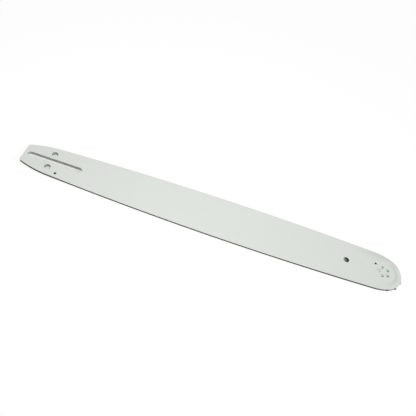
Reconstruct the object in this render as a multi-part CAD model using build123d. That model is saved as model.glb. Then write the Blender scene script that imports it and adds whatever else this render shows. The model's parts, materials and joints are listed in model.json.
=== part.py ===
from build123d import *
import os
from math import acos, asin, atan2, cos, hypot, pi, sin, sqrt

# Sprocket-nose guide bar for a chainsaw.
#
# Two identical steel side plates are welded to a narrower core plate, which leaves
# the chain groove open along both rails. The core stops short of the nose, where a
# toothed sprocket turns on rollers round an inner race riveted between the plates.
#
# The bar lies flat: +X runs from the tail to the nose, +Z is up, and the origin is
# half way along the bar, on its centreline, on its underside. All sizes are in mm.

# Outline of the side plates
bar_length = 571.0
bar_width = 68.5  # across the rails where the bar is widest
rail_tail_width = 49.5  # across the rails where the tail begins to flare
tail_flare_length = 43.7  # from the tail end to where the flare meets the rail
tail_flare_radius = 145.0
tail_corner_radius = 3.0
nose_radius = 27.2
nose_shoulder = 2.5  # how far the line of the rail passes outside the nose
nose_blend_radius = 67.0  # between the rail and the round of the nose

# Plates, from the underside up
side_plate_thickness = 1.6
core_thickness = 1.5
groove_depth = 7.0

# Stud slot, tension holes and the other holes
slot_from_tail = 5.4  # metal left between the tail end and the slot
slot_length = 80.2
slot_width = 7.4
tension_hole_diameter = 8.5
tension_hole_from_tail = 40.0
tension_hole_spacing = 24.8
oil_hole_diameter = 3.2
oil_hole_from_tail = 54.5
sight_hole_diameter = 8.0  # through a side plate, down to the core
sight_hole_from_nose = 84.5
grease_hole_diameter = 2.6
grease_hole_angle = 139.5  # degrees round the sprocket's axis, from +X

# Rivets and the bearing inside the nose
rivet_count = 5
rivet_circle_radius = 7.6
rivet_diameter = 4.5
rivet_first_angle = 180.0
rivet_recess = 0.15  # the rivet's end below the face of the plate
rivet_hole_clearance = 0.03  # radial
race_wall = 1.95  # from a rivet hole to the track of the rollers
roller_diameter = 4.4
roller_clearance = 0.04  # radial, at the race and again at the sprocket
roller_gap = 0.03  # least gap between neighbouring rollers
nose_side_clearance = 0.1  # between a side plate and what turns beside it

# Nose sprocket
tooth_count = 12
tooth_proud = 1.2  # how far the teeth stand out of the nose
tooth_tip_width = 3.2
tooth_tip_chamfer = 0.5
sprocket_rim = 4.0  # from the bore to the bottom of a gullet
gullet_radius = 3.2
first_gullet_angle = -1.7  # degrees, as the sprocket rests
pocket_clearance = 1.2  # from the tooth tips to the core plate

# Places and sizes that follow from the above
bar_thickness = 2 * side_plate_thickness + core_thickness
tail_x = -bar_length / 2
nose_axis_x = bar_length / 2 - nose_radius
slot_x = tail_x + slot_from_tail + slot_length / 2
tension_hole_x = tail_x + tension_hole_from_tail
sight_hole_x = bar_length / 2 - sight_hole_from_nose
oil_hole_x = tail_x + oil_hole_from_tail
rivet_radius = rivet_diameter / 2
rivet_hole_radius = rivet_radius + rivet_hole_clearance
race_radius = rivet_circle_radius + rivet_hole_radius + race_wall
roller_radius = roller_diameter / 2
roller_circle_radius = race_radius + roller_clearance + roller_radius
sprocket_bore_radius = roller_circle_radius + roller_radius + roller_clearance
sprocket_tip_radius = nose_radius + tooth_proud
sprocket_thickness = core_thickness - 2 * nose_side_clearance
nose_axis = Pos(nose_axis_x, 0, 0)
core_bottom_z = side_plate_thickness
turning_bottom_z = side_plate_thickness + nose_side_clearance

# The bow of each rail: one long arc through its widths at the tail, the middle and the nose
flare_x = tail_x + tail_flare_length
tail_sag = (bar_width - rail_tail_width) / 2
nose_sag = bar_width / 2 - nose_radius - nose_shoulder
widest_x = flare_x + (nose_axis_x - flare_x) / (1 + sqrt(nose_sag / tail_sag))
rail_radius = ((nose_axis_x - widest_x) ** 2 + nose_sag**2) / (2 * nose_sag)
rail_centre = Vector(widest_x, bar_width / 2 - rail_radius)
nose_centre = Vector(nose_axis_x, 0)


def rail_half_width(x, inset=0.0):
    """Half the width across the rails at x, or of an outline set in from them."""
    radius = rail_radius - inset
    return rail_centre.Y + sqrt(radius**2 - (x - rail_centre.X) ** 2)


def towards(start, end, distance):
    """The point at a distance from start on the way to end."""
    return start + (end - start).normalized() * distance


def blend_centre():
    """Centre of the arc that touches both the rail and the nose from inside."""
    to_nose = nose_centre - rail_centre
    span = to_nose.length
    from_rail = rail_radius - nose_blend_radius
    from_nose = nose_blend_radius - nose_radius
    along = (from_rail**2 - from_nose**2 + span**2) / (2 * span)
    aside = sqrt(from_rail**2 - along**2)
    forward = to_nose.normalized()
    back_and_in = Vector(-forward.Y, forward.X)
    return rail_centre + forward * along + back_and_in * aside


def arc(centre, start, end):
    """The shorter arc about a centre from start to end."""
    half_way = (start + end) * 0.5
    return ThreePointArc(start, towards(centre, half_way, (start - centre).length), end)


def tail_arcs(inset):
    """The flare of one side of the tail, and the point where it meets the rail."""
    meets_rail = Vector(flare_x, rail_half_width(flare_x))
    flare_centre = towards(meets_rail, rail_centre, tail_flare_radius)
    radius = tail_flare_radius - inset
    start_y = flare_centre.Y + sqrt(radius**2 - (tail_x - flare_centre.X) ** 2)
    start = Vector(tail_x, start_y)
    end = towards(flare_centre, meets_rail, radius)
    return arc(flare_centre, start, end), start, end


def mirrored(point):
    """The same point on the other side of the centreline."""
    return Vector(point.X, -point.Y)


def plate_outline():
    """The whole outline of a side plate, with the tail's corners rounded."""
    flare, tail_corner, flare_end = tail_arcs(0.0)
    centre = blend_centre()
    blend_start = towards(rail_centre, centre, rail_radius)
    blend_end = towards(centre, nose_centre, nose_blend_radius)
    side = flare + arc(rail_centre, flare_end, blend_start)
    side += arc(centre, blend_start, blend_end)
    nose_tip = nose_centre + Vector(nose_radius, 0)
    nose = ThreePointArc(blend_end, nose_tip, mirrored(blend_end))
    tail_end = Line(mirrored(tail_corner), tail_corner)
    outline = make_face(Curve() + [side, nose, mirror(side, Plane.XZ), tail_end])
    return fillet(outline.vertices().group_by(Axis.X)[0], tail_corner_radius)


def core_outline():
    """The core's outline: set in from the rails, flush at the tail, hollow at the nose."""
    flare, tail_corner, flare_end = tail_arcs(groove_depth)
    front = Vector(nose_axis_x, rail_half_width(nose_axis_x, groove_depth))
    side = flare + arc(rail_centre, flare_end, front)
    tail_end = Line(mirrored(tail_corner), tail_corner)
    front_end = Line(front, mirrored(front))
    outline = make_face(Curve() + [side, front_end, mirror(side, Plane.XZ), tail_end])
    return outline - nose_axis * Circle(sprocket_tip_radius + pocket_clearance)


def holes_through_all():
    """The stud slot and the two tension holes."""
    tension_holes = GridLocations(0, tension_hole_spacing, 1, 2)
    slot = Pos(slot_x, 0) * SlotOverall(slot_length, slot_width)
    return slot + Pos(tension_hole_x, 0) * tension_holes * Circle(tension_hole_diameter / 2)


def rivet_places():
    """Where the rivets stand, round the sprocket's axis."""
    return PolarLocations(rivet_circle_radius, rivet_count, rivet_first_angle)


def side_plate():
    """One side plate, with its inner face on z = 0 and its outer face up."""
    oil_hole_y = rail_half_width(oil_hole_x) - groove_depth + oil_hole_diameter / 4
    grease_hole = PolarLocations(sprocket_bore_radius, 1, grease_hole_angle)
    face = plate_outline() - holes_through_all()
    face -= Pos(sight_hole_x, 0) * Circle(sight_hole_diameter / 2)
    face -= Pos(oil_hole_x, -oil_hole_y) * Circle(oil_hole_diameter / 2)
    face -= nose_axis * grease_hole * Circle(grease_hole_diameter / 2)
    face -= nose_axis * rivet_places() * Circle(rivet_hole_radius)
    return extrude(face, side_plate_thickness)


def core_plate():
    """The plate between the side plates, which makes the floor of the groove."""
    return Pos(0, 0, core_bottom_z) * extrude(
        core_outline() - holes_through_all(), core_thickness
    )


def gullet():
    """The space between two teeth: a round bottom and flanks that open to the tips."""
    centre = Vector(sprocket_bore_radius + sprocket_rim + gullet_radius, 0)
    half_gap = pi / tooth_count - asin(tooth_tip_width / (2 * sprocket_tip_radius))
    corner = Vector(cos(half_gap), sin(half_gap)) * sprocket_tip_radius
    reach = hypot(corner.X - centre.X, corner.Y)
    turn = atan2(corner.Y, corner.X - centre.X) + acos(gullet_radius / reach)
    touch = centre + Vector(cos(turn), sin(turn)) * gullet_radius
    outside = towards(corner, touch, -sprocket_rim)
    flanks = [touch, outside, mirrored(outside), mirrored(touch)]
    return make_face(Polyline(*flanks, close=True)) + Pos(centre) * Circle(gullet_radius)


def nose_sprocket():
    """The toothed wheel that carries the chain round the nose."""
    wheel = Circle(sprocket_tip_radius)
    wheel -= PolarLocations(0, tooth_count, first_gullet_angle) * gullet()
    tips = wheel.vertices().group_by(lambda corner: round(hypot(corner.X, corner.Y), 3))
    wheel = chamfer(tips[-1], tooth_tip_chamfer)
    wheel -= Circle(sprocket_bore_radius)
    return Pos(0, 0, turning_bottom_z) * nose_axis * extrude(wheel, sprocket_thickness)


def bearing_race():
    """The disc that the rollers run on, held between the plates by the rivets."""
    face = Circle(race_radius) - rivet_places() * Circle(rivet_hole_radius)
    return Pos(0, 0, core_bottom_z) * nose_axis * extrude(face, core_thickness)


def bearing_rollers():
    """Short rollers that fill the ring between the race and the sprocket."""
    half_step = (roller_diameter + roller_gap) / (2 * roller_circle_radius)
    roller_count = int(pi / asin(half_step))
    roller = extrude(Circle(roller_radius), sprocket_thickness)
    places = PolarLocations(roller_circle_radius, roller_count)
    return [Pos(0, 0, turning_bottom_z) * nose_axis * place * roller for place in places]


def nose_rivets():
    """Rivets through both plates and the race, spun down to just below the faces."""
    rivet = Cylinder(rivet_radius, bar_thickness - 2 * rivet_recess)
    middle = Pos(0, 0, bar_thickness / 2) * nose_axis
    return Compound(children=[middle * place * rivet for place in rivet_places()])


def main():
    plate = side_plate()
    parts = {
        "top_side_plate": Pos(0, 0, bar_thickness - side_plate_thickness) * plate,
        "bottom_side_plate": Pos(0, 0, side_plate_thickness) * Rot(X=180) * plate,
        "core_plate": core_plate(),
        "nose_sprocket": nose_sprocket(),
        "bearing_inner_race": bearing_race(),
        "nose_rivets": nose_rivets(),
    }
    for number, roller in enumerate(bearing_rollers(), start=1):
        parts[f"bearing_roller_{number:02d}"] = roller
    os.makedirs("parts", exist_ok=True)
    for name, shape in parts.items():
        export_step(shape, f"parts/{name}.step")


main()
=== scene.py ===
"""Finishes a chainsaw guide bar: rounded plates, toothed nose, rivets, coat and steel."""

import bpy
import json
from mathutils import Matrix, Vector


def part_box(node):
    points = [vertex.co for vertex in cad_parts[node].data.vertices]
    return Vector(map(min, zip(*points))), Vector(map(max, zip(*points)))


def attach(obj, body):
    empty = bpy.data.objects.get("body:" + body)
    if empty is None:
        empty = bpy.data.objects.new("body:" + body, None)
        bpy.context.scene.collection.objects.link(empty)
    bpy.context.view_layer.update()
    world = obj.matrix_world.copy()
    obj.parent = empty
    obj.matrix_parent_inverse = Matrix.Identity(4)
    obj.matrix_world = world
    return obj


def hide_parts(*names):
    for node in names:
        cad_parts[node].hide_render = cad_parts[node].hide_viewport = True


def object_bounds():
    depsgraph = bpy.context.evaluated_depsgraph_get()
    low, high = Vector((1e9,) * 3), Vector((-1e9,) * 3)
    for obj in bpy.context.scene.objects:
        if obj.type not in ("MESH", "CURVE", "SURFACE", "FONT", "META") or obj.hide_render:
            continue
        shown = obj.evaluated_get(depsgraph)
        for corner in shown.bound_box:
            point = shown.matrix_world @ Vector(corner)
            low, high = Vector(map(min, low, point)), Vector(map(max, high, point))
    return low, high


bl_info = {
    "name": "Guide bar finish",
    "version": (1, 0, 0),
    "blender": (4, 5, 0),
    "location": "3D View > Sidebar > Guide bar",
    "description": "Models and finishes the plates, nose and rivets of a chainsaw guide bar",
    "category": "Object",
}

import json
import math

import bmesh
import bpy
from bpy.props import FloatProperty, FloatVectorProperty, IntProperty, PointerProperty
from mathutils import Matrix, Vector

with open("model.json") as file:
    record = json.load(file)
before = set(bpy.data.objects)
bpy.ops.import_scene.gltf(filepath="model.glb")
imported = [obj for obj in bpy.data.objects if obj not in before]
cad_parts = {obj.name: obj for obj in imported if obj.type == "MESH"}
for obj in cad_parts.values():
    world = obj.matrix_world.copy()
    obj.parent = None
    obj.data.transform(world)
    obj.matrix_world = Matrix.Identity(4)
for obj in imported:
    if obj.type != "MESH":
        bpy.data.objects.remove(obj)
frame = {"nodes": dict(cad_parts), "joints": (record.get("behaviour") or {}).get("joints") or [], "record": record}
cad_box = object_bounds()

# What the frame gives: the levels of the plates, the holes that are mounts, and the nose axis
MOUNTS = {mount["name"]: mount for mount in frame["record"]["mounts"]}
JOINTS = {joint["name"]: joint for joint in frame["joints"]}
TOP_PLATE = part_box("top_side_plate")
BOTTOM_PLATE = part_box("bottom_side_plate")
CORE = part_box("core_plate")
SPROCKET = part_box("nose_sprocket")
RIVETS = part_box("nose_rivets")
TAIL_X = TOP_PLATE[0].x
NOSE = Vector(JOINTS["sprocket_spin"]["pos_m"]).xy
MM_PER_M = 1000.0
SLOT_CENTRE = Vector(MOUNTS["stud_slot"]["pos_m"]).xy
TENSION_HOLES = [
    (Vector(MOUNTS[name]["pos_m"]).xy, MOUNTS[name]["dims"]["r_mm"] / MM_PER_M)
    for name in ("tension_hole_left", "tension_hole_right")
]

# How finely curves are divided, and when two points are one
CHORD_ERROR = 3e-6
FEWEST_CHORDS = 2
SAME_POINT = 1e-7
UP = Vector((0, 0, 1))

# How the faces of a piece are told apart
SHARP_ANGLE = math.radians(50)
FLAT_NORMAL = math.cos(math.radians(10))  # least upright part of the normal of a flat side
EDGE_LEAN = 0.2  # how far a face leans up or down before it is a rounded edge and not a wall


def length(name, description, default):
    """A size in metres that a user may change."""
    return FloatProperty(
        name=name, description=description, default=default, unit="LENGTH", precision=5
    )


def position(name, description, default):
    """A place in metres that a user may change."""
    return FloatVectorProperty(name=name, description=description, default=default, unit="LENGTH")


def rotation(name, description, degrees):
    """An angle that a user may change, given in degrees."""
    default = math.radians(degrees)
    return FloatProperty(name=name, description=description, default=default, subtype="ANGLE")


def colour(name, description, default):
    """A linear colour that a user may change."""
    return FloatVectorProperty(
        name=name, description=description, default=default, size=3, subtype="COLOR", min=0, max=1
    )


def share(name, description, default):
    """A share from 0 to 1 that a user may change."""
    return FloatProperty(
        name=name, description=description, default=default, subtype="FACTOR", min=0, max=1
    )


def amount(name, description, default):
    """A plain number that a user may change."""
    return FloatProperty(name=name, description=description, default=default)


class PlateSizes(bpy.types.PropertyGroup):
    """Sizes of the side plates and the core"""

    bar_width: length("Bar width", "Across the rails where the bar is widest", 0.0685)
    rail_tail_width: length("Tail width", "Across the rails where the tail begins to flare", 0.0495)
    tail_flare_length: length("Flare length", "From the tail end to the start of the rail", 0.0437)
    tail_flare_radius: length("Flare radius", "Radius of the flare of the tail", 0.145)
    tail_corner_radius: length("Tail corner", "Radius of the corners of the tail", 0.003)
    nose_radius: length("Nose radius", "Radius of the round of the nose", 0.0272)
    nose_shoulder: length("Nose shoulder", "How far the rail's line passes outside the nose", 0.0025)
    nose_blend_radius: length("Nose blend", "Radius between the rail and the round of the nose", 0.067)
    groove_depth: length("Groove depth", "From the rail to the floor of the groove", 0.007)
    slot_length: length("Slot length", "Length of the stud slot", 0.0802)
    slot_width: length("Slot width", "Width of the stud slot", 0.0074)
    oil_hole_diameter: length("Oil hole", "Diameter of the oil hole", 0.0032)
    oil_hole_from_tail: length("Oil hole place", "From the tail end to the oil hole", 0.0545)
    oil_hole_out: share("Oil hole out", "Share of it from its centre to the groove's floor", 0.25)
    sight_hole_diameter: length("Sight hole", "Diameter of the blind hole behind the nose", 0.008)
    sight_hole_from_nose: length("Sight hole place", "From the nose to the sight hole", 0.0845)
    grease_hole_diameter: length("Grease hole", "Diameter of the grease hole", 0.0026)
    grease_hole_angle: rotation("Grease hole angle", "Turn of the hole round the nose axis", 139.5)
    edge_round: length("Edge round", "Radius of the deburred edges of the plates", 0.0002)
    core_edge_round: length("Core edge", "Radius of the edges of the core", 0.0001)


class NoseSizes(bpy.types.PropertyGroup):
    """Sizes of the sprocket and the rivets"""

    rivet_count: IntProperty(name="Rivets", description="Rivets round the nose axis", default=5, min=3)
    rivet_circle_radius: length("Rivet circle", "Radius of the circle of rivets", 0.0076)
    rivet_diameter: length("Rivet diameter", "Diameter of a rivet", 0.0045)
    rivet_clearance: length("Rivet clearance", "Gap round a rivet in its hole", 0.00003)
    rivet_dimple_diameter: length("Dimple", "Diameter of the dimple in a rivet's end", 0.0032)
    rivet_dimple_depth: length("Dimple depth", "Depth of the dimple in a rivet's end", 0.0006)
    rivet_edge_round: length("Rivet edge", "Radius of the edge of a rivet's end", 0.0001)
    tooth_count: IntProperty(name="Teeth", description="Teeth of the nose sprocket", default=12, min=6)
    tooth_proud: length("Tooth proud", "How far the teeth stand out of the nose", 0.0012)
    tooth_tip_width: length("Tooth tip", "Width of a tooth at its tip", 0.0032)
    tooth_tip_chamfer: length("Tip chamfer", "Chamfer of the corners of a tooth", 0.0005)
    sprocket_bore_radius: length("Sprocket bore", "Radius of the track of the rollers", 0.01631)
    sprocket_rim: length("Sprocket rim", "From the bore to the bottom of a gullet", 0.004)
    gullet_radius: length("Gullet radius", "Radius of the bottom of a gullet", 0.0032)
    first_gullet_angle: rotation("First gullet", "Turn of the first gullet from the bar's line", -1.7)
    pocket_clearance: length("Pocket clearance", "From the tooth tips to the core", 0.0012)
    sprocket_edge_round: length("Sprocket edge", "Radius of the edges of the sprocket", 0.00012)


class Finishes(bpy.types.PropertyGroup):
    """Colours and gloss of the coat and the steels"""

    coat_colour: colour("Coat", "Pale satin coat of the faces", (0.745, 0.785, 0.74))
    coat_cloud_colour: colour("Coat cloud", "Slightly deeper tone in the coat", (0.73, 0.77, 0.725))
    coat_roughness: share("Coat roughness", "Gloss of the coat", 0.42)
    # Painted shade at the nose: a ring over the sprocket and a darker band along one rail.
    nose_shade_colour: colour("Press ring", "Faint ring over the sprocket", (0.65, 0.68, 0.645))
    nose_shade_ring_radius: length("Press ring radius", "Radius of the ring in the coat", 0.0195)
    nose_shade_ring_width: length("Press ring width", "Width of the ring in the coat", 0.009)
    rim_shade_width: length("Rim tint width", "How far in from the nose's edge the tint reaches", 0.012)
    rim_shade_reach: length("Rim tint reach", "How far the tint reaches back along one rail", 0.055)
    rail_colour: colour("Rail steel", "Ground and hardened rails", (0.88, 0.88, 0.86))
    # Painted shade: these darken the rails beside the groove, more towards the tail and the nose; the same colour
    # paints the shade round the grease holes.
    painted_shade_colour: colour("Oil stain", "Rails beside the groove, dark with oil", (0.02, 0.02, 0.02))
    groove_shade_width: length("Oil stain width", "How far the oil stain reaches up and down the rails", 0.00085)
    groove_shade_tail_width: length("Oil at the tail", "Added width of the oil stain at the tail", 0.0012)
    groove_shade_tail_reach: length("Tail oil reach", "How far the added stain reaches from the tail", 0.11)
    groove_shade_nose_width: length("Oil at the nose", "Added width of the oil stain at the nose", 0.0004)
    groove_shade_nose_reach: length("Nose oil reach", "How far the added stain reaches from the nose", 0.2)
    # Painted shade: width of the dark ring round each grease hole.
    grease_hole_shade_width: length("Grease ring", "Width of the dark ring round a grease hole", 0.0003)
    # Painted shade: the lower walls of the through holes are a little darker than the upper walls.
    punched_colour: colour("Punched steel", "Upper walls of the through holes", (0.55, 0.56, 0.52))
    shaded_low_colour: colour("Burnished steel", "Lower walls of the through holes", (0.5, 0.51, 0.48))
    core_colour: colour("Core steel", "Uncoated sides of the core", (0.32, 0.32, 0.315))
    # Painted shadow in the sight hole, darker towards the nose.
    sight_hole_shade_colour: colour("Grease", "Core that is dark with the bearing's grease", (0.05, 0.05, 0.05))
    # Painted shade: the groove, the plates' inner edges and the small holes are near black.
    groove_shade_colour: colour("Groove steel", "Oiled inside of the groove", (0.02, 0.02, 0.02))
    sprocket_colour: colour("Sprocket steel", "Dark hardened sprocket", (0.015, 0.015, 0.015))
    bearing_colour: colour("Bearing steel", "Greased race and rollers", (0.06, 0.058, 0.055))
    rivet_colour: colour("Rivet steel", "Flat rim of the rivets' ends", (0.6, 0.63, 0.6))
    # Painted shade: the rivets' dimples are given a dark tone.
    dimple_shade_colour: colour("Dimple steel", "Dimple that forms the rivets", (0.24, 0.25, 0.24))


class StageSettings(bpy.types.PropertyGroup):
    """Floor, lamps and camera"""

    floor_size: length("Floor size", "Side of the floor", 6.0)
    floor_drop: length("Floor drop", "Gap under the bar", 0.00005)
    floor_colour: colour("Floor", "Floor under its glow, which takes the shadow", (0.15, 0.15, 0.15))
    floor_glow: share("Floor glow", "Light added to the floor as it is seen", 0.88)
    # Painted shade: a grey sheet under the bar darkens the floor seen through its holes.
    under_bar_shade_colour: colour("Card", "Pale card under the bar, seen through its holes", (0.52, 0.53, 0.5))
    under_bar_shade_glow: share("Card glow", "Light added to the card as it is seen", 0.33)
    sky_strength: share("Sky", "Even light from all round", 0.34)
    top_lamp_power: amount("Top lamp", "Power of the lamp above", 1.41)
    top_lamp_size: length("Top lamp size", "Side of the lamp above", 0.5)
    top_lamp_place: position("Top lamp place", "Place of the lamp above", (-0.055, -0.06, 0.53))
    side_lamp_power: amount("Side lamp", "Power of the lamp beyond the nose", 214.0)
    side_lamp_size: length("Side lamp size", "Side of the lamp beyond the nose", 0.8)
    side_lamp_place: position("Side lamp place", "Place of the lamp beyond the nose", (5.6, 0.5, 2.8))
    camera_lens: FloatProperty(name="Lens", description="Focal length", default=39.527, unit="CAMERA")
    camera_distance: length("Camera distance", "From the face of the bar along the view", 0.655726)
    camera_tilt: rotation("Tilt", "Lean of the view from straight down", 37.676)
    camera_roll: rotation("Roll", "Turn of the picture about the view", 19.979)
    camera_swing: rotation("Swing", "Turn of the view about the vertical", -1.74)
    camera_aside: length("Camera aside", "Shift of the camera to its right", -0.009227)
    camera_raised: length("Camera raised", "Shift of the camera to its top", 0.010548)


# Outlines, drawn on z = 0 before they are given a thickness


def polar(centre, radius, angle):
    """The point at an angle and a distance from a centre."""
    return Vector((centre.x + radius * math.cos(angle), centre.y + radius * math.sin(angle)))


def towards(start, end, distance):
    """The point at a distance from start on the way to end."""
    return start + (end - start).normalized() * distance


def circles_meet(first, first_radius, second, second_radius, side):
    """Where two circles meet, on the left (1) or right (-1) of the line between them."""
    apart = second - first
    span = apart.length
    along = (first_radius**2 - second_radius**2 + span**2) / (2 * span)
    aside = math.sqrt(first_radius**2 - along**2)
    forward = apart / span
    return first + forward * along + Vector((-forward.y, forward.x)) * aside * side


def steps_for(radius, angle):
    """How many chords keep an arc within the error; a chord sags by its angle squared * radius / 8."""
    return max(FEWEST_CHORDS, math.ceil(abs(angle) * math.sqrt(radius / (8 * CHORD_ERROR))))


def start_at(bm, point):
    """The first vertex of an outline."""
    return bm.verts.new(point.to_3d())


def line_to(bm, vert, point):
    """A straight edge from a vertex to a point; gives its end."""
    end = start_at(bm, point)
    bm.edges.new((vert, end))
    return end


def sweep(bm, vert, centre, angle, axis=UP):
    """An arc from a vertex about a centre; gives its end."""
    pivot = centre.to_3d()
    steps = steps_for((vert.co - pivot).length, angle)
    swept = bmesh.ops.spin(bm, geom=[vert], cent=pivot, axis=axis, angle=angle, steps=steps)
    return next(item for item in swept["geom_last"] if isinstance(item, bmesh.types.BMVert))


def arc_to(bm, vert, centre, point):
    """The shorter arc from a vertex about a centre to a point; gives its end."""
    angle = -(vert.co.xy - centre).angle_signed(point - centre)
    return sweep(bm, vert, centre, angle)


def add_circle(bm, centre, radius):
    """A round hole in an outline."""
    bmesh.ops.create_circle(
        bm,
        cap_ends=False,
        segments=steps_for(radius, math.tau),
        radius=radius,
        matrix=Matrix.Translation(centre.to_3d()),
    )


def add_slot(bm, centre, slot_length, slot_width):
    """A long hole with round ends."""
    reach = Vector((slot_length / 2 - slot_width / 2, 0))
    half = Vector((0, slot_width / 2))
    vert = line_to(bm, start_at(bm, centre - reach + half), centre + reach + half)
    vert = sweep(bm, vert, centre + reach, -math.pi)
    vert = line_to(bm, vert, centre - reach - half)
    sweep(bm, vert, centre - reach, -math.pi)


def mirror_across(bm, axis):
    """Adds the mirror image of what is drawn, and joins the two where they meet."""
    geom = bm.verts[:] + bm.edges[:] + bm.faces[:]
    bmesh.ops.mirror(bm, geom=geom, matrix=Matrix.Identity(4), merge_dist=SAME_POINT, axis=axis)


def repeat_round(bm, centre, count):
    """Copies what is drawn round a centre, until there are so many of it."""
    bmesh.ops.spin(
        bm,
        geom=bm.verts[:] + bm.edges[:] + bm.faces[:],
        cent=centre.to_3d(),
        axis=UP,
        angle=math.tau - math.tau / count,
        steps=count - 1,
        use_duplicate=True,
    )


def rail_bow(sizes):
    """Centre and radius of the long arc of the upper rail, and the point where the flare meets it."""
    flare_x = TAIL_X + sizes.tail_flare_length
    tail_sag = (sizes.bar_width - sizes.rail_tail_width) / 2
    nose_sag = sizes.bar_width / 2 - sizes.nose_radius - sizes.nose_shoulder
    widest_x = flare_x + (NOSE.x - flare_x) / (1 + math.sqrt(nose_sag / tail_sag))
    radius = ((NOSE.x - widest_x) ** 2 + nose_sag**2) / (2 * nose_sag)
    centre = Vector((widest_x, sizes.bar_width / 2 - radius))
    return centre, radius, height_on(centre, radius, flare_x)


def height_on(centre, radius, x):
    """The upper point of a circle at x."""
    return Vector((x, centre.y + math.sqrt(radius**2 - (x - centre.x) ** 2)))


def draw_plate_outline(bm, sizes):
    """The outline of a side plate: tail, flare, bowed rail, blend and round nose."""
    rail_centre, rail_radius, flare_end = rail_bow(sizes)
    flare_centre = towards(flare_end, rail_centre, sizes.tail_flare_radius)
    corner = sizes.tail_corner_radius
    corner_centre = height_on(flare_centre, sizes.tail_flare_radius - corner, TAIL_X + corner)
    corner_end = towards(flare_centre, corner_centre, sizes.tail_flare_radius)
    blend = sizes.nose_blend_radius
    blend_centre = circles_meet(rail_centre, rail_radius - blend, NOSE, blend - sizes.nose_radius, 1)

    vert = start_at(bm, Vector((TAIL_X, 0)))
    vert = line_to(bm, vert, corner_centre - Vector((corner, 0)))
    vert = arc_to(bm, vert, corner_centre, corner_end)
    vert = arc_to(bm, vert, flare_centre, flare_end)
    vert = arc_to(bm, vert, rail_centre, towards(rail_centre, blend_centre, rail_radius))
    vert = arc_to(bm, vert, blend_centre, towards(blend_centre, NOSE, blend))
    arc_to(bm, vert, NOSE, NOSE + Vector((sizes.nose_radius, 0)))
    mirror_across(bm, "Y")


def draw_core_outline(bm, sizes, nose):
    """The outline of the core: set in from the rails, hollow at the nose."""
    rail_centre, rail_radius, flare_end = rail_bow(sizes)
    flare_centre = towards(flare_end, rail_centre, sizes.tail_flare_radius)
    inner_flare = sizes.tail_flare_radius - sizes.groove_depth
    inner_rail = rail_radius - sizes.groove_depth
    pocket_radius = sizes.nose_radius + nose.tooth_proud + nose.pocket_clearance

    vert = start_at(bm, Vector((TAIL_X, 0)))
    vert = line_to(bm, vert, height_on(flare_centre, inner_flare, TAIL_X))
    vert = arc_to(bm, vert, flare_centre, towards(flare_centre, flare_end, inner_flare))
    vert = arc_to(bm, vert, rail_centre, circles_meet(rail_centre, inner_rail, NOSE, pocket_radius, 1))
    arc_to(bm, vert, NOSE, NOSE - Vector((pocket_radius, 0)))
    mirror_across(bm, "Y")


def draw_shared_holes(bm, sizes):
    """The stud slot and the two tension holes."""
    add_slot(bm, SLOT_CENTRE, sizes.slot_length, sizes.slot_width)
    for place, radius in TENSION_HOLES:
        add_circle(bm, place, radius)


def rivet_places(nose):
    """Where the rivets stand round the nose axis, the first towards the tail."""
    step = math.tau / nose.rivet_count
    angles = [math.pi + step * turn for turn in range(nose.rivet_count)]
    return [polar(NOSE, nose.rivet_circle_radius, angle) for angle in angles]


def grease_hole_place(sizes, nose):
    """Where the grease hole of the top plate is."""
    return polar(NOSE, nose.sprocket_bore_radius, sizes.grease_hole_angle)


def sight_hole_place(sizes):
    """Where the sight hole is."""
    return NOSE + Vector((sizes.nose_radius - sizes.sight_hole_from_nose, 0))


def draw_plate_holes(bm, sizes, nose, side):
    """The holes of one side plate; side is 1 for the top plate and -1 for the bottom one."""
    rail_centre, rail_radius, _ = rail_bow(sizes)
    oil_hole = height_on(rail_centre, rail_radius, TAIL_X + sizes.oil_hole_from_tail)
    oil_hole.y -= sizes.groove_depth - sizes.oil_hole_diameter * sizes.oil_hole_out
    grease_hole = grease_hole_place(sizes, nose)
    add_circle(bm, sight_hole_place(sizes), sizes.sight_hole_diameter / 2)
    add_circle(bm, Vector((oil_hole.x, -side * oil_hole.y)), sizes.oil_hole_diameter / 2)
    add_circle(bm, Vector((grease_hole.x, side * grease_hole.y)), sizes.grease_hole_diameter / 2)
    for place in rivet_places(nose):
        add_circle(bm, place, nose.rivet_diameter / 2 + nose.rivet_clearance)


def draw_sprocket_outline(bm, nose, tip_radius):
    """The toothed outline and the bore of the sprocket, about the origin."""
    origin = Vector((0, 0))
    half_step = math.pi / nose.tooth_count
    gullet_centre = Vector((nose.sprocket_bore_radius + nose.sprocket_rim + nose.gullet_radius, 0))
    half_gap = half_step - math.asin(nose.tooth_tip_width / (2 * tip_radius))
    corner = polar(origin, tip_radius, half_gap)
    to_corner = corner - gullet_centre
    turn = math.atan2(to_corner.y, to_corner.x) + math.acos(nose.gullet_radius / to_corner.length)
    touch = polar(gullet_centre, nose.gullet_radius, turn)
    chamfer = nose.tooth_tip_chamfer

    vert = start_at(bm, gullet_centre - Vector((nose.gullet_radius, 0)))
    vert = arc_to(bm, vert, gullet_centre, touch)
    vert = line_to(bm, vert, towards(corner, touch, chamfer))
    vert = line_to(bm, vert, polar(origin, tip_radius, half_gap + chamfer / tip_radius))
    arc_to(bm, vert, origin, polar(origin, tip_radius, half_step))
    mirror_across(bm, "Y")
    repeat_round(bm, origin, nose.tooth_count)
    add_circle(bm, origin, nose.sprocket_bore_radius)
    at_rest = Matrix.Rotation(nose.first_gullet_angle, 3, "Z")
    bmesh.ops.rotate(bm, cent=(0, 0, 0), matrix=at_rest, verts=bm.verts[:])


# From an outline to a finished piece


def inset_rim(bm, faces, width):
    """A strip of an even width round every edge of a flat region; gives the strip's faces."""
    made = bmesh.ops.inset_region(
        bm, faces=faces, thickness=width, use_boundary=True, use_even_offset=True
    )
    return made["faces"]


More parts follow.
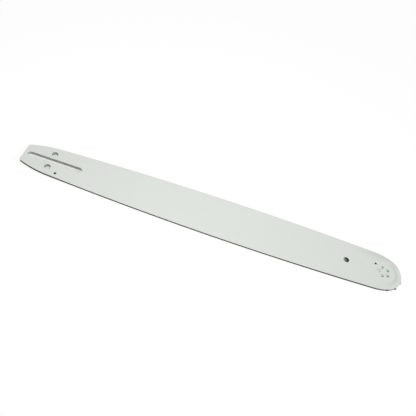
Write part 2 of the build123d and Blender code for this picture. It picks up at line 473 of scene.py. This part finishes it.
def thicken(bm, thickness, edge_round):
    """Makes a plate about z = 0 from a closed outline with holes, with rounded edges."""
    bmesh.ops.remove_doubles(bm, verts=bm.verts[:], dist=SAME_POINT)
    filled = bmesh.ops.triangle_fill(bm, use_beauty=True, edges=bm.edges[:], normal=UP)
    flat = [item for item in filled["geom"] if isinstance(item, bmesh.types.BMFace)]
    if not flat:
        raise RuntimeError("the outline did not close, so it could not be filled")
    bmesh.ops.translate(bm, vec=UP * thickness / 2, verts=bm.verts[:])

    shallow = edge_round * (1 - math.sin(math.pi / 4))
    outer_strip = inset_rim(bm, flat, shallow)
    inset_rim(bm, flat, edge_round - shallow)
    rim_edges = [edge for edge in bm.edges if edge.is_boundary]
    rim = {vert for edge in rim_edges for vert in edge.verts}
    half_way = {vert for face in outer_strip for vert in face.verts} - rim
    bmesh.ops.translate(bm, vec=UP * -edge_round, verts=list(rim))
    bmesh.ops.translate(bm, vec=UP * -shallow, verts=list(half_way))

    wall = bmesh.ops.extrude_edge_only(bm, edges=rim_edges)
    foot = [item for item in wall["geom"] if isinstance(item, bmesh.types.BMVert)]
    bmesh.ops.translate(bm, vec=UP * (edge_round - thickness / 2), verts=foot)
    mirror_across(bm, "Z")
    bmesh.ops.recalc_face_normals(bm, faces=bm.faces[:])


def make_rivet(bm, nose, half_length):
    """Makes one rivet about the origin, with a round dimple in each end."""
    rim, hollow = range(2)
    radius = nose.rivet_diameter / 2
    edge = nose.rivet_edge_round
    dimple = nose.rivet_dimple_diameter / 2
    depth = nose.rivet_dimple_depth
    ball = (dimple**2 + depth**2) / (2 * depth)
    lowest = half_length - depth
    vert = start_at(bm, UP * lowest)
    vert = sweep(bm, vert, UP * (lowest + ball), -math.asin(dimple / ball), axis=(0, 1, 0))
    for x, z in ((radius - edge, half_length), (radius, half_length - edge), (radius, 0)):
        vert = line_to(bm, vert, Vector((x, 0, z)))
    bmesh.ops.spin(
        bm,
        geom=bm.verts[:] + bm.edges[:],
        cent=(0, 0, 0),
        axis=UP,
        angle=math.tau,
        steps=steps_for(radius, math.tau),
        use_merge=True,
    )
    bmesh.ops.remove_doubles(bm, verts=bm.verts[:], dist=SAME_POINT)
    mirror_across(bm, "Z")
    bmesh.ops.recalc_face_normals(bm, faces=bm.faces[:])
    for face in bm.faces:
        reach = max(vert.co.xy.length for vert in face.verts)
        face.material_index = hollow if reach < dimple + SAME_POINT else rim


def is_flat(face):
    """Whether a face is part of one of the two flat sides of a plate."""
    return abs(face.normal.z) > FLAT_NORMAL


def linked_walls(start):
    """The wall and edge faces that are joined to one of them without crossing a flat side."""
    found = {start}
    waiting = [start]
    while waiting:
        face = waiting.pop()
        beside = {other for edge in face.edges for other in edge.link_faces if not is_flat(other)}
        waiting.extend(beside - found)
        found |= beside
    return found


def in_shared_hole(point, sizes):
    """Whether a point on a wall is in the slot or a tension hole, which pass through every plate."""
    from_slot = point - SLOT_CENTRE
    if abs(from_slot.x) <= sizes.slot_length / 2 and abs(from_slot.y) <= sizes.slot_width / 2:
        return True
    return any((point - place).length <= radius for place, radius in TENSION_HOLES)


def paint_plate(bm, side, sizes):
    """Coat outside; near black steel of painted shade inside, on the inner rounded edges and in the small holes;
    ground rails; punched walls in the slot and tension holes.
    """
    coat, rail, punched, groove = range(4)
    walls = [face for face in bm.faces if not is_flat(face)]
    foremost = max(walls, key=lambda face: face.calc_center_median().x)
    rails = linked_walls(foremost)
    # Painted shade: inner faces, inner rounded edges and the walls of the small holes take the near black groove
    # steel.
    for face in bm.faces:
        outward = face.normal.z * side
        if is_flat(face) or (face in rails and abs(outward) > EDGE_LEAN):
            face.material_index = coat if outward > 0 else groove
        elif face in rails:
            face.material_index = rail
        else:
            shared = in_shared_hole(face.calc_center_median().xy, sizes)
            face.material_index = punched if shared else groove


def middle(box):
    """The height of the middle of a box."""
    return UP * (box[0].z + box[1].z) / 2


def thickness_of(box):
    """The height of a box."""
    return box[1].z - box[0].z


def finish_piece(bm, name, node, body, materials):
    """Turns a bmesh into a piece that stands for a CAD node and rides on its body."""
    for face in bm.faces:
        face.smooth = True
    for edge in bm.edges:
        edge.smooth = edge.calc_face_angle(0) < SHARP_ANGLE
    mesh = bpy.data.meshes.new(name)
    bm.to_mesh(mesh)
    bm.free()
    for material in materials:
        mesh.materials.append(material)
    piece = bpy.data.objects.new(name, mesh)
    bpy.context.scene.collection.objects.link(piece)
    shading = piece.modifiers.new("even_shading", "WEIGHTED_NORMAL")
    shading.keep_sharp = True
    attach(piece, body)
    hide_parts(node)


# Finishes: scales and detail of their patterns

ALONG_BAR = (40.0, 5000.0, 5000.0)
ALONG_WALL = (5000.0, 5000.0, 120.0)
LINES_SCALE = 1.0  # of lines that one of the two above has stretched
LINES_DETAIL = 3.0
STAIN_SCALE = 60.0
STAIN_DETAIL = 4.0
COAT_GRAIN_SCALE = 2200.0
COAT_CLOUD_SCALE = 28.0
STEEL_GRAIN_SCALE = 3500.0
STEEL_CLOUD_SCALE = 180.0
GRAIN_DETAIL = 3.0
CLOUD_DETAIL = 2.0

# How far a pattern varies the gloss, and the strength and depth of its relief
COAT_TEXTURE = {"spread": 0.06, "strength": 0.12, "depth": 0.00004}
LINES_TEXTURE = {"spread": 0.1, "strength": 0.2, "depth": 0.00003}
GRAIN_TEXTURE = {"spread": 0.08, "strength": 0.2, "depth": 0.00003}

# Roughness of the steels
RAIL_ROUGHNESS = 0.2
PUNCHED_ROUGHNESS = 0.45
GROOVE_ROUGHNESS = 0.5
CORE_ROUGHNESS = 0.5
SPROCKET_ROUGHNESS = 0.45
RIVET_ROUGHNESS = 0.4
BEARING_ROUGHNESS = 0.25

STAIN_SHARE = 0.86  # tone of a stain on bare steel beside the clean steel
COAT_LEFT_FROM = 0.009  # behind the nose axis, where the coat still covers the rivets
SPRAYED_METALLIC = 0.5  # of walls that the coat's spray has half covered
# Where the painted shade along one rail of the nose is full, and where it has gone.
RIM_SHADE_FULL_FROM = 0.75  # of the nose's radius to one side, where the tint of the rail is full
RIM_SHADE_GONE_BY = 0.3  # of the nose's radius to one side, where it has gone
WHITE = (1.0, 1.0, 1.0, 1.0)
MIX_COLOURS = (6, 7)  # the inputs of a mix node that take colours, and its output that gives one
MIX_RESULT = 2


def new_group(name, inputs, outputs):
    """A shader node group with float or vector inputs and value outputs."""
    group = bpy.data.node_groups.new(name, "ShaderNodeTree")
    for socket_name, kind, default in inputs:
        socket = group.interface.new_socket(socket_name, in_out="INPUT", socket_type=kind)
        if default is not None:
            socket.default_value = default
    for socket_name in outputs:
        group.interface.new_socket(socket_name, in_out="OUTPUT", socket_type="NodeSocketFloat")
    return group, group.nodes.new("NodeGroupInput"), group.nodes.new("NodeGroupOutput")


def feed(tree, socket, value):
    """Joins an output to a socket of a node tree, or sets the socket's plain value."""
    if isinstance(value, bpy.types.NodeSocket):
        tree.links.new(value, socket)
    else:
        socket.default_value = value


def feed_all(tree, node, **inputs):
    """Sets or joins some inputs of a node, by name, and gives the node back."""
    for name, value in inputs.items():
        feed(tree, node.inputs[name.replace("_", " ")], value)
    return node


def add_node(tree, kind, **inputs):
    """A new node with some of its inputs set or joined, by name."""
    return feed_all(tree, tree.nodes.new(kind), **inputs)


def add_math(tree, operation, *values, kind="ShaderNodeMath"):
    """A new node for a sum, a product or the like of some values or vectors."""
    node = tree.nodes.new(kind)
    node.operation = operation
    for socket, value in zip(node.inputs, values):
        feed(tree, socket, value)
    return node


def add_noise(group, result, vector, scale, detail):
    """Noise of a scale and a detail, from a vector to one of a group's results."""
    noise = add_node(group, "ShaderNodeTexNoise", Vector=vector, Scale=scale, Detail=detail)
    group.links.new(noise.outputs["Fac"], result)


def satin_grain_group():
    """Fine grain of a satin surface, and slow clouds of tone, from Object coordinates."""
    name = "satin_grain"
    if name in bpy.data.node_groups:
        return bpy.data.node_groups[name]
    group, given, result = new_group(
        name,
        [
            ("Vector", "NodeSocketVector", None),
            ("Grain Scale", "NodeSocketFloat", COAT_GRAIN_SCALE),
            ("Cloud Scale", "NodeSocketFloat", COAT_CLOUD_SCALE),
        ],
        ["Grain", "Cloud"],
    )
    place, grain_scale, cloud_scale = given.outputs[:3]
    add_noise(group, result.inputs["Grain"], place, grain_scale, GRAIN_DETAIL)
    add_noise(group, result.inputs["Cloud"], place, cloud_scale, CLOUD_DETAIL)
    return group


def ground_lines_group():
    """Fine lines that run one way, as grinding or drawing leaves them, and faint stains."""
    name = "ground_lines"
    if name in bpy.data.node_groups:
        return bpy.data.node_groups[name]
    group, given, result = new_group(
        name,
        [("Vector", "NodeSocketVector", None), ("Stretch", "NodeSocketVector", ALONG_BAR)],
        ["Lines", "Stain"],
    )
    place, stretch = given.outputs[:2]
    stretched = add_math(group, "MULTIPLY", place, stretch, kind="ShaderNodeVectorMath")
    add_noise(group, result.inputs["Lines"], stretched.outputs["Vector"], LINES_SCALE, LINES_DETAIL)
    add_noise(group, result.inputs["Stain"], place, STAIN_SCALE, STAIN_DETAIL)
    return group


class MaterialMaker:
    """Short ways to add and join the nodes of one material."""

    def __init__(self, name):
        self.material = bpy.data.materials.new(name)
        self.material.use_nodes = True
        self.tree = self.material.node_tree
        self.place = self.node("ShaderNodeTexCoord").outputs["Object"]
        self.x, self.y, self.z = self.node("ShaderNodeSeparateXYZ", Vector=self.place).outputs

    def node(self, kind, **inputs):
        """A node with some of its inputs set or joined, by name."""
        return add_node(self.tree, kind, **inputs)

    def surface(self, **inputs):
        """Sets or joins some inputs of the shader, by name."""
        feed_all(self.tree, self.tree.nodes["Principled BSDF"], **inputs)

    def group(self, group_tree, **inputs):
        """A node group placed in this material, fed with Object coordinates."""
        made = self.node("ShaderNodeGroup")
        made.node_tree = group_tree
        return feed_all(self.tree, made, Vector=self.place, **inputs)

    def math(self, operation, *values):
        """A sum, a product or the like of some values."""
        return add_math(self.tree, operation, *values).outputs["Value"]

    def blend(self, factor, first, second):
        """A colour between two colours or colour outputs."""
        mix = self.node("ShaderNodeMix")
        mix.data_type = "RGBA"
        feed_all(self.tree, mix, Factor=factor)
        for number, value in zip(MIX_COLOURS, (first, second)):
            joined = isinstance(value, bpy.types.NodeSocket)
            feed(self.tree, mix.inputs[number], value if joined else (*value, 1.0))
        return mix.outputs[MIX_RESULT]

    def stained(self, mask, base):
        """A tone that is a little darker where a mask is high."""
        return self.blend(mask, base, [channel * STAIN_SHARE for channel in base])

    def fade(self, value, start, end):
        """1 up to the start, then smoothly down to 0 at the end."""
        ramp = self.node(
            "ShaderNodeMapRange", Value=value, From_Min=start, From_Max=end, To_Min=1.0, To_Max=0.0
        )
        ramp.interpolation_type = "SMOOTHSTEP"
        return ramp.outputs["Result"]

    def from_point(self, x, y, point):
        """How far a place is from a point, seen from above."""
        flat = self.node("ShaderNodeCombineXYZ", X=x, Y=y).outputs["Vector"]
        place = (point.x, point.y, 0.0)
        apart = add_math(self.tree, "DISTANCE", flat, place, kind="ShaderNodeVectorMath")
        return apart.outputs["Value"]

    def texture(self, pattern, roughness, spread, strength, depth):
        """Gloss that a fine pattern varies, and relief in the same pattern."""
        gloss = self.node(
            "ShaderNodeMapRange", Value=pattern, To_Min=roughness - spread, To_Max=roughness + spread
        )
        relief = self.node("ShaderNodeBump", Height=pattern, Strength=strength, Distance=depth)
        self.surface(Roughness=gloss.outputs["Result"], Normal=relief.outputs["Normal"])


def made_once(name, make, *values):
    """A material by name, made the first time that it is asked for."""
    return bpy.data.materials.get(name) or make(name, *values)


def nose_painted_shade(maker, sizes, finishes):
    """Painted shade on the coat: in a ring over the sprocket, stronger towards the tip, and along one rail behind
    the nose.
    """
    radius = sizes.nose_radius
    from_axis = maker.from_point(maker.x, maker.y, NOSE)
    from_ring = maker.math("SUBTRACT", from_axis, finishes.nose_shade_ring_radius)
    ring = maker.fade(maker.math("ABSOLUTE", from_ring), 0.0, finishes.nose_shade_ring_width / 2)
    at_tip = maker.fade(maker.x, NOSE.x + finishes.nose_shade_ring_radius, NOSE.x)
    ahead_of_axis = maker.math("MAXIMUM", maker.x, NOSE.x)
    from_spine = maker.from_point(ahead_of_axis, maker.y, NOSE)
    rim = maker.fade(from_spine, radius, radius - finishes.rim_shade_width)
    one_side = maker.fade(maker.y, radius * RIM_SHADE_FULL_FROM, radius * RIM_SHADE_GONE_BY)
    near_nose = maker.fade(maker.x, NOSE.x, NOSE.x - finishes.rim_shade_reach)
    far_rail_shade = maker.math("MULTIPLY", rim, maker.math("MULTIPLY", one_side, near_nose))
    return maker.math("MAXIMUM", maker.math("MULTIPLY", ring, at_tip), far_rail_shade)


def grease_hole_shade(maker, sizes, nose, finishes):
    """A dark ring of painted shade round the grease hole of each side plate."""
    facing = maker.math("SIGN", maker.math("SUBTRACT", maker.z, middle(CORE).z))
    across = maker.math("MULTIPLY", maker.y, facing)
    from_hole = maker.from_point(maker.x, across, grease_hole_place(sizes, nose))
    inside = sizes.grease_hole_diameter / 2 + sizes.edge_round
    return maker.fade(from_hole, inside, inside + finishes.grease_hole_shade_width)


def coat_material(name, sizes, nose, finishes):
    """Pale satin coat with a fine grain, slow clouds, and painted shade at the nose and round the grease holes."""
    maker = MaterialMaker(name)
    grain = maker.group(satin_grain_group())
    tone = maker.blend(grain.outputs["Cloud"], finishes.coat_colour, finishes.coat_cloud_colour)
    # Painted shade at the nose.
    tone = maker.blend(nose_painted_shade(maker, sizes, finishes), tone, finishes.nose_shade_colour)
    # Painted shade round the grease holes.
    tone = maker.blend(grease_hole_shade(maker, sizes, nose, finishes), tone, finishes.painted_shade_colour)
    maker.surface(Base_Color=tone)
    maker.texture(grain.outputs["Grain"], finishes.coat_roughness, **COAT_TEXTURE)
    return maker.material


def groove_side_shade(maker, finishes):
    """Painted shade that darkens the rails beside the groove, in a strip that widens at the tail and the nose."""
    from_middle = maker.math("ABSOLUTE", maker.math("SUBTRACT", maker.z, middle(CORE).z))
    from_groove = maker.math("SUBTRACT", from_middle, thickness_of(CORE) / 2)
    at_tail = maker.fade(maker.x, TAIL_X, TAIL_X + finishes.groove_shade_tail_reach)
    at_nose = maker.fade(maker.x, NOSE.x, NOSE.x - finishes.groove_shade_nose_reach)
    width = maker.math("MULTIPLY_ADD", at_tail, finishes.groove_shade_tail_width, finishes.groove_shade_width)
    width = maker.math("MULTIPLY_ADD", at_nose, finishes.groove_shade_nose_width, width)
    return maker.fade(maker.math("DIVIDE", from_groove, width), 0.0, 1.0)


def lined_steel(name, base, roughness, stretch, overlay=None, metallic=1.0):
    """Bare steel with fine lines and faint stains, and an overlay that changes its tone."""
    maker = MaterialMaker(name)
    lines = maker.group(ground_lines_group(), Stretch=stretch)
    tone = maker.stained(lines.outputs["Stain"], base)
    if overlay:
        tone = overlay(maker, tone)
    maker.surface(Base_Color=tone, Metallic=metallic)
    maker.texture(lines.outputs["Lines"], roughness, **LINES_TEXTURE)
    return maker.material


def grained_steel(name, base, roughness, coat_colour=None):
    """Bare steel with a fine even grain; a coat, where given, still covers it towards the tail."""
    maker = MaterialMaker(name)
    grain = maker.group(
        satin_grain_group(), Grain_Scale=STEEL_GRAIN_SCALE, Cloud_Scale=STEEL_CLOUD_SCALE
    )
    tone = maker.stained(grain.outputs["Cloud"], base)
    metallic = 1.0
    if coat_colour:
        coated = maker.fade(maker.x, NOSE.x - COAT_LEFT_FROM, NOSE.x)
        tone = maker.blend(coated, tone, coat_colour)
        metallic = maker.math("SUBTRACT", 1.0, coated)
    maker.surface(Base_Color=tone, Metallic=metallic)
    maker.texture(grain.outputs["Grain"], roughness, **GRAIN_TEXTURE)
    return maker.material


def rail_steel(finishes):
    """Ground along the rail, with painted shade beside the groove."""

    # Painted shade on the rails beside the groove.
    def shaded_by_groove(maker, tone):
        return maker.blend(groove_side_shade(maker, finishes), tone, finishes.painted_shade_colour)

    base = finishes.rail_colour
    return made_once("rail_steel", lined_steel, base, RAIL_ROUGHNESS, ALONG_BAR, shaded_by_groove)


def punched_steel(finishes):
    """Sheared through the plates, with painted shade that darkens the lower walls, and dulled by the coat's spray.
    """

    # Painted shade, darker towards the bottom of the hole.
    def shaded_low(maker, tone):
        low = maker.fade(maker.z, BOTTOM_PLATE[1].z, TOP_PLATE[0].z)
        return maker.blend(low, tone, finishes.shaded_low_colour)

    looks = (finishes.punched_colour, PUNCHED_ROUGHNESS, ALONG_WALL, shaded_low, SPRAYED_METALLIC)
    return made_once("punched_steel", lined_steel, *looks)


def groove_steel(finishes):
    """Inside of the groove, near black with painted shade."""
    base = finishes.groove_shade_colour
    return made_once("groove_steel", lined_steel, base, GROOVE_ROUGHNESS, ALONG_BAR)


def core_steel(sizes, finishes):
    """Rolled and uncoated, with painted shadow that darkens the core across the sight hole and on towards the
    nose.
    """
    hole = sight_hole_place(sizes)
    radius = sizes.sight_hole_diameter / 2

    # Painted shadow: the core darkens across the sight hole towards the nose.
    def shaded_past_sight_hole(maker, tone):
        clean = maker.fade(maker.x, hole.x - radius, hole.x + radius)
        return maker.blend(clean, finishes.sight_hole_shade_colour, tone)

    base = finishes.core_colour
    return made_once("core_rolled_steel", lined_steel, base, CORE_ROUGHNESS, ALONG_BAR, shaded_past_sight_hole)


# Operators, one for each piece or group of like pieces


def settings_of(scene):
    """The sizes of the plates and of the nose, and the finishes."""
    return scene.guide_bar_plates, scene.guide_bar_nose, scene.guide_bar_finishes


class GUIDEBAR_OT_side_plates(bpy.types.Operator):
    """Models the two side plates, coated outside and bare at the rails and in the holes"""

    bl_idname = "guide_bar.side_plates"
    bl_label = "Side plates"

    def execute(self, context):
        sizes, nose, finishes = settings_of(context.scene)
        coat = made_once("satin_coat", coat_material, sizes, nose, finishes)
        materials = [coat, rail_steel(finishes), punched_steel(finishes), groove_steel(finishes)]
        plates = (
            ("top_plate", "top_side_plate", TOP_PLATE, 1),
            ("bottom_plate", "bottom_side_plate", BOTTOM_PLATE, -1),
        )
        for name, node, box, side in plates:
            bm = bmesh.new()
            draw_plate_outline(bm, sizes)
            draw_shared_holes(bm, sizes)
            draw_plate_holes(bm, sizes, nose, side)
            thicken(bm, thickness_of(box), sizes.edge_round)
            paint_plate(bm, side, sizes)
            bmesh.ops.translate(bm, vec=middle(box), verts=bm.verts[:])
            finish_piece(bm, name, node, "bar", materials)
        return {"FINISHED"}


class GUIDEBAR_OT_core(bpy.types.Operator):
    """Models the narrower core plate, which is the floor of the chain groove"""

    bl_idname = "guide_bar.core"
    bl_label = "Core"

    def execute(self, context):
        sizes, nose, finishes = settings_of(context.scene)
        bm = bmesh.new()
        draw_core_outline(bm, sizes, nose)
        draw_shared_holes(bm, sizes)
        thicken(bm, thickness_of(CORE), sizes.core_edge_round)
        rolled, punched, groove = range(3)
        for face in bm.faces:
            face.material_index = rolled if is_flat(face) else punched
        # Painted shade: the core's edge at the floor of the groove takes the near black groove steel.
        for face in linked_walls(min(bm.faces, key=lambda face: face.calc_center_median().x)):
            face.material_index = groove
        bmesh.ops.translate(bm, vec=middle(CORE), verts=bm.verts[:])
        materials = [core_steel(sizes, finishes), punched_steel(finishes), groove_steel(finishes)]
        finish_piece(bm, "groove_core", "core_plate", "bar", materials)
        return {"FINISHED"}


class GUIDEBAR_OT_sprocket(bpy.types.Operator):
    """Models the toothed sprocket that carries the chain round the nose"""

    bl_idname = "guide_bar.sprocket"
    bl_label = "Nose sprocket"

    def execute(self, context):
        sizes, nose, finishes = settings_of(context.scene)
        bm = bmesh.new()
        draw_sprocket_outline(bm, nose, sizes.nose_radius + nose.tooth_proud)
        thicken(bm, thickness_of(SPROCKET), nose.sprocket_edge_round)
        bmesh.ops.translate(bm, vec=NOSE.to_3d() + middle(SPROCKET), verts=bm.verts[:])
        base = finishes.sprocket_colour
        steel = made_once("sprocket_dark_steel", grained_steel, base, SPROCKET_ROUGHNESS)
        finish_piece(bm, "toothed_sprocket", "nose_sprocket", "sprocket", [steel])
        return {"FINISHED"}


class GUIDEBAR_OT_rivets(bpy.types.Operator):
    """Models the rivets of the nose, with a dimple in each end"""

    bl_idname = "guide_bar.rivets"
    bl_label = "Nose rivets"

    def execute(self, context):
        _, nose, finishes = settings_of(context.scene)
        bm = bmesh.new()
        make_rivet(bm, nose, thickness_of(RIVETS) / 2)
        first_place = rivet_places(nose)[0].to_3d()
        bmesh.ops.translate(bm, vec=first_place + middle(RIVETS), verts=bm.verts[:])
        repeat_round(bm, NOSE, nose.rivet_count)
        coat = finishes.coat_colour
        # The dimples' steel carries painted shade.
        materials = [
            made_once(name, grained_steel, base, RIVET_ROUGHNESS, coat)
            for name, base in (
                ("rivet_rim_steel", finishes.rivet_colour),
                ("rivet_dimple_steel", finishes.dimple_shade_colour),
            )
        ]
        finish_piece(bm, "dimpled_rivets", "nose_rivets", "bar", materials)
        return {"FINISHED"}


class GUIDEBAR_OT_bearing(bpy.types.Operator):
    """Gives the race and the rollers inside the nose their ground steel"""

    bl_idname = "guide_bar.bearing"
    bl_label = "Bearing"

    def execute(self, context):
        base = context.scene.guide_bar_finishes.bearing_colour
        steel = made_once("bearing_ground_steel", lined_steel, base, BEARING_ROUGHNESS, ALONG_WALL)
        bearing = [node for name, node in frame["nodes"].items() if name.startswith("bearing_")]
        if not bearing:
            raise RuntimeError("the frame has no bearing")
        for node in bearing:
            node.data.materials.clear()
            node.data.materials.append(steel)
        return {"FINISHED"}


def seen_directly(tree):
    """A mask of the rays from the camera, from gloss and through glass."""
    path = add_node(tree, "ShaderNodeLightPath").outputs
    seen = path["Is Camera Ray"]
    for name in ("Is Glossy Ray", "Is Transmission Ray"):
        seen = add_math(tree, "MAXIMUM", seen, path[name]).outputs["Value"]
    return seen


def floor_material(name, colour_seen, added_glow):
    """Pale matt surface that keeps the shadow and is lighter as it is seen."""
    material = bpy.data.materials.new(name)
    material.use_nodes = True
    tree = material.node_tree
    tree.nodes.clear()
    strength = add_math(tree, "MULTIPLY", seen_directly(tree), added_glow).outputs["Value"]
    matt = add_node(tree, "ShaderNodeBsdfDiffuse", Color=(*colour_seen, 1.0))
    glow = add_node(tree, "ShaderNodeEmission", Strength=strength)
    both = add_node(tree, "ShaderNodeAddShader")
    tree.links.new(matt.outputs["BSDF"], both.inputs[0])
    tree.links.new(glow.outputs["Emission"], both.inputs[1])
    add_node(tree, "ShaderNodeOutputMaterial", Surface=both.outputs["Shader"])
    return material


def add_sheet(bm, name, drop, material):
    """A flat sheet just under the bar, from a bmesh on z = 0."""
    bmesh.ops.translate(bm, vec=UP * (cad_box[0].z - drop), verts=bm.verts[:])
    mesh = bpy.data.meshes.new(name)
    bm.to_mesh(mesh)
    bm.free()
    mesh.materials.append(material)
    sheet = bpy.data.objects.new(name, mesh)
    bpy.context.scene.collection.objects.link(sheet)


def light_sky(stage):
    """Even light from all round, white where it is seen."""
    world = bpy.data.worlds.new("studio")
    world.use_nodes = True
    tree = world.node_tree
    tree.nodes.clear()
    fill = add_node(tree, "ShaderNodeBackground", Color=WHITE, Strength=stage.sky_strength)
    white = add_node(tree, "ShaderNodeBackground", Color=WHITE, Strength=1.0)
    mix = add_node(tree, "ShaderNodeMixShader", Fac=seen_directly(tree))
    tree.links.new(fill.outputs["Background"], mix.inputs[1])
    tree.links.new(white.outputs["Background"], mix.inputs[2])
    add_node(tree, "ShaderNodeOutputWorld", Surface=mix.outputs["Shader"])
    bpy.context.scene.world = world


def add_lamp(name, power, size, place):
    """A square lamp that shines at the middle of the bar."""
    lamp = bpy.data.lights.new(name, "AREA")
    lamp.energy = power
    lamp.size = size
    lamp_object = bpy.data.objects.new(name, lamp)
    lamp_object.location = place
    lamp_object.rotation_euler = (-Vector(place)).to_track_quat("-Z", "Y").to_euler()
    bpy.context.scene.collection.objects.link(lamp_object)


def add_camera(stage):
    """The camera, tilted from straight down and rolled, above the face of the bar."""
    camera = bpy.data.cameras.new("camera")
    camera.lens = stage.camera_lens
    camera_object = bpy.data.objects.new("camera", camera)
    turn = Matrix.Rotation(stage.camera_swing, 4, "Z")
    turn @= Matrix.Rotation(stage.camera_tilt, 4, "X")
    turn @= Matrix.Rotation(stage.camera_roll, 4, "Z")
    offset = Vector((stage.camera_aside, stage.camera_raised, stage.camera_distance))
    face_middle = Vector((0, 0, TOP_PLATE[1].z))
    camera_object.matrix_world = Matrix.Translation(face_middle) @ turn @ Matrix.Translation(offset)
    bpy.context.scene.collection.objects.link(camera_object)
    bpy.context.scene.camera = camera_object


class GUIDEBAR_OT_stage(bpy.types.Operator):
    """Sets up the pale floor, the soft light and the camera"""

    bl_idname = "guide_bar.stage"
    bl_label = "Stage"

    def execute(self, context):
        stage = context.scene.guide_bar_stage
        sizes, nose, _ = settings_of(context.scene)
        floor = bmesh.new()
        bmesh.ops.create_grid(floor, x_segments=1, y_segments=1, size=stage.floor_size / 2)
        floor_finish = floor_material("pale_floor", stage.floor_colour, stage.floor_glow)
        add_sheet(floor, "floor", stage.floor_drop, floor_finish)
        # Painted shade: a grey sheet under the bar, so that the floor seen through the holes is darker.
        card = bmesh.new()
        draw_core_outline(card, sizes, nose)
        bmesh.ops.triangle_fill(card, use_beauty=True, edges=card.edges[:], normal=UP)
        card_finish = floor_material("shade_card", stage.under_bar_shade_colour, stage.under_bar_shade_glow)
        add_sheet(card, "card", stage.floor_drop / 2, card_finish)
        light_sky(stage)
        add_lamp("top_lamp", stage.top_lamp_power, stage.top_lamp_size, stage.top_lamp_place)
        add_lamp("side_lamp", stage.side_lamp_power, stage.side_lamp_size, stage.side_lamp_place)
        add_camera(stage)
        context.scene.view_settings.view_transform = "Standard"
        return {"FINISHED"}


PIECES = (
    GUIDEBAR_OT_side_plates,
    GUIDEBAR_OT_core,
    GUIDEBAR_OT_sprocket,
    GUIDEBAR_OT_rivets,
    GUIDEBAR_OT_bearing,
    GUIDEBAR_OT_stage,
)


class GUIDEBAR_PT_panel(bpy.types.Panel):
    """Lists what finishes the bar"""

    bl_idname = "GUIDEBAR_PT_panel"
    bl_label = "Guide bar"
    bl_space_type = "VIEW_3D"
    bl_region_type = "UI"
    bl_category = "Guide bar"

    def draw(self, context):
        for operator in PIECES:
            self.layout.operator(operator.bl_idname)
        for name in SETTINGS:
            settings = getattr(context.scene, name)
            box = self.layout.box()
            for key in settings.__annotations__:
                box.prop(settings, key)


SETTINGS = {
    "guide_bar_plates": PlateSizes,
    "guide_bar_nose": NoseSizes,
    "guide_bar_finishes": Finishes,
    "guide_bar_stage": StageSettings,
}
CLASSES = (*SETTINGS.values(), *PIECES, GUIDEBAR_PT_panel)


def register():
    for one in CLASSES:
        bpy.utils.register_class(one)
    for name, group in SETTINGS.items():
        setattr(bpy.types.Scene, name, PointerProperty(type=group))


def unregister():
    for name in SETTINGS:
        delattr(bpy.types.Scene, name)
    for one in reversed(CLASSES):
        bpy.utils.unregister_class(one)


def main():
    register()
    bpy.ops.guide_bar.side_plates()
    bpy.ops.guide_bar.core()
    bpy.ops.guide_bar.sprocket()
    bpy.ops.guide_bar.rivets()
    bpy.ops.guide_bar.bearing()
    bpy.ops.guide_bar.stage()


if __name__ == "__main__":
    main()
